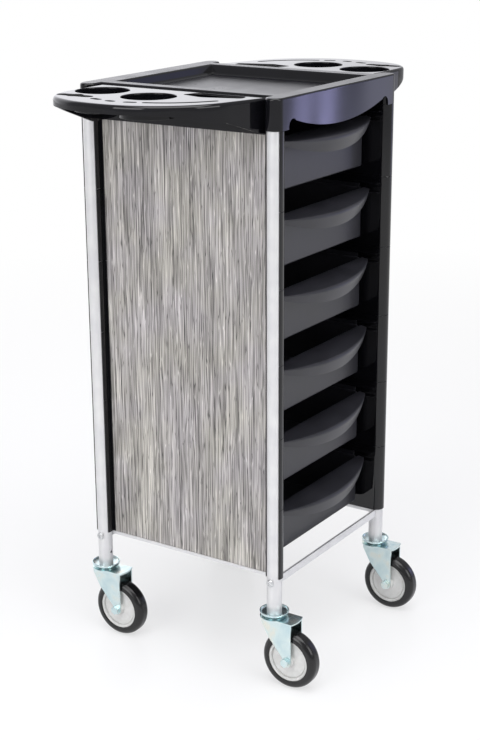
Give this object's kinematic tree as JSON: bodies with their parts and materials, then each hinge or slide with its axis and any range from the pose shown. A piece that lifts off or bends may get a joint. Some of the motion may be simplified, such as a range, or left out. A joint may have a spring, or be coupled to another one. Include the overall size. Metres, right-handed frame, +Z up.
{
  "type": "salon trolley cart",
  "caption": "Salon trolley on swivel casters: tube posts with stacked black modules, bow-front drawers, grey side panels and a top tray with holed side wings.",
  "frame": {"origin": "on the floor under the middle of the cart's box", "axes": "+Z up, drawers open towards -Y, +X to the right of a person facing the drawers"},
  "size_m": [0.7, 0.459, 0.966],
  "materials": {
    "silver_coat": "satin silver coat on steel tube and sheet",
    "screw_steel": "zinc-plated, slightly dull",
    "black_abs": "glossy moulded ABS",
    "bark_laminate": "grey laminate with upright bark-like streaks",
    "drawer_plastic": "satin charcoal plastic",
    "zinc_plate": "bright zinc plate, bluish",
    "hub_plastic": "light grey moulded nylon",
    "tyre_rubber": "smooth black rubber"
  },
  "bodies": {
    "frame": {"post_front_left": "silver_coat", "post_front_right": "silver_coat", "post_rear_left": "silver_coat", "post_rear_right": "silver_coat", "front_bar": "silver_coat", "rear_bar": "silver_coat", "side_rail_left": "silver_coat", "side_rail_right": "silver_coat", "bar_screws": "screw_steel", "side_module_left_1": "black_abs", "side_module_left_2": "black_abs", "side_module_left_3": "black_abs", "side_module_left_4": "black_abs", "side_module_left_5": "black_abs", "side_module_left_6": "black_abs", "side_module_right_1": "black_abs", "side_module_right_2": "black_abs", "side_module_right_3": "black_abs", "side_module_right_4": "black_abs", "side_module_right_5": "black_abs", "side_module_right_6": "black_abs", "side_panel_left": "bark_laminate", "side_panel_right": "bark_laminate", "top_tray": "black_abs", "wing_left": "black_abs", "wing_right": "black_abs", "caster_stem_front_left": "zinc_plate", "caster_stem_front_right": "zinc_plate", "caster_stem_rear_left": "zinc_plate", "caster_stem_rear_right": "zinc_plate"},
    "drawer_body_1": {"drawer_1": "drawer_plastic"},
    "drawer_body_2": {"drawer_2": "drawer_plastic"},
    "drawer_body_3": {"drawer_3": "drawer_plastic"},
    "drawer_body_4": {"drawer_4": "drawer_plastic"},
    "drawer_body_5": {"drawer_5": "drawer_plastic"},
    "drawer_body_6": {"drawer_6": "drawer_plastic"},
    "swivel_front_left": {"caster_fork_front_left": "zinc_plate", "caster_axle_front_left": "zinc_plate"},
    "wheel_front_left": {"wheel_hub_front_left": "hub_plastic", "tyre_front_left": "tyre_rubber"},
    "swivel_front_right": {"caster_fork_front_right": "zinc_plate", "caster_axle_front_right": "zinc_plate"},
    "wheel_front_right": {"wheel_hub_front_right": "hub_plastic", "tyre_front_right": "tyre_rubber"},
    "swivel_rear_left": {"caster_fork_rear_left": "zinc_plate", "caster_axle_rear_left": "zinc_plate"},
    "wheel_rear_left": {"wheel_hub_rear_left": "hub_plastic", "tyre_rear_left": "tyre_rubber"},
    "swivel_rear_right": {"caster_fork_rear_right": "zinc_plate", "caster_axle_rear_right": "zinc_plate"},
    "wheel_rear_right": {"wheel_hub_rear_right": "hub_plastic", "tyre_rear_right": "tyre_rubber"}
  },
  "joints": [
    {"name": "drawer_slide_1", "type": "slide", "parent": "frame", "child": "drawer_body_1", "axis": [0, -1, 0], "range_m": [0, 0.22]},
    {"name": "drawer_slide_2", "type": "slide", "parent": "frame", "child": "drawer_body_2", "axis": [0, -1, 0], "range_m": [0, 0.22]},
    {"name": "drawer_slide_3", "type": "slide", "parent": "frame", "child": "drawer_body_3", "axis": [0, -1, 0], "range_m": [0, 0.22]},
    {"name": "drawer_slide_4", "type": "slide", "parent": "frame", "child": "drawer_body_4", "axis": [0, -1, 0], "range_m": [0, 0.22]},
    {"name": "drawer_slide_5", "type": "slide", "parent": "frame", "child": "drawer_body_5", "axis": [0, -1, 0], "range_m": [0, 0.22]},
    {"name": "drawer_slide_6", "type": "slide", "parent": "frame", "child": "drawer_body_6", "axis": [0, -1, 0], "range_m": [0, 0.22]},
    {"name": "swivel_turn_front_left", "type": "hinge", "parent": "frame", "child": "swivel_front_left", "pos_m": [-0.173, -0.146, 0.12], "axis": [0, 0, 1], "continuous": true},
    {"name": "swivel_turn_front_right", "type": "hinge", "parent": "frame", "child": "swivel_front_right", "pos_m": [0.173, -0.146, 0.12], "axis": [0, 0, 1], "continuous": true},
    {"name": "swivel_turn_rear_left", "type": "hinge", "parent": "frame", "child": "swivel_rear_left", "pos_m": [-0.173, 0.205, 0.12], "axis": [0, 0, 1], "continuous": true},
    {"name": "swivel_turn_rear_right", "type": "hinge", "parent": "frame", "child": "swivel_rear_right", "pos_m": [0.173, 0.205, 0.12], "axis": [0, 0, 1], "continuous": true},
    {"name": "wheel_turn_front_left", "type": "hinge", "parent": "swivel_front_left", "child": "wheel_front_left", "pos_m": [-0.173, -0.1795, 0.05], "axis": [1, 0, 0], "continuous": true},
    {"name": "wheel_turn_front_right", "type": "hinge", "parent": "swivel_front_right", "child": "wheel_front_right", "pos_m": [0.173, -0.1795, 0.05], "axis": [1, 0, 0], "continuous": true},
    {"name": "wheel_turn_rear_left", "type": "hinge", "parent": "swivel_rear_left", "child": "wheel_rear_left", "pos_m": [-0.173, 0.1715, 0.05], "axis": [1, 0, 0], "continuous": true},
    {"name": "wheel_turn_rear_right", "type": "hinge", "parent": "swivel_rear_right", "child": "wheel_rear_right", "pos_m": [0.173, 0.1715, 0.05], "axis": [1, 0, 0], "continuous": true}
  ]
}
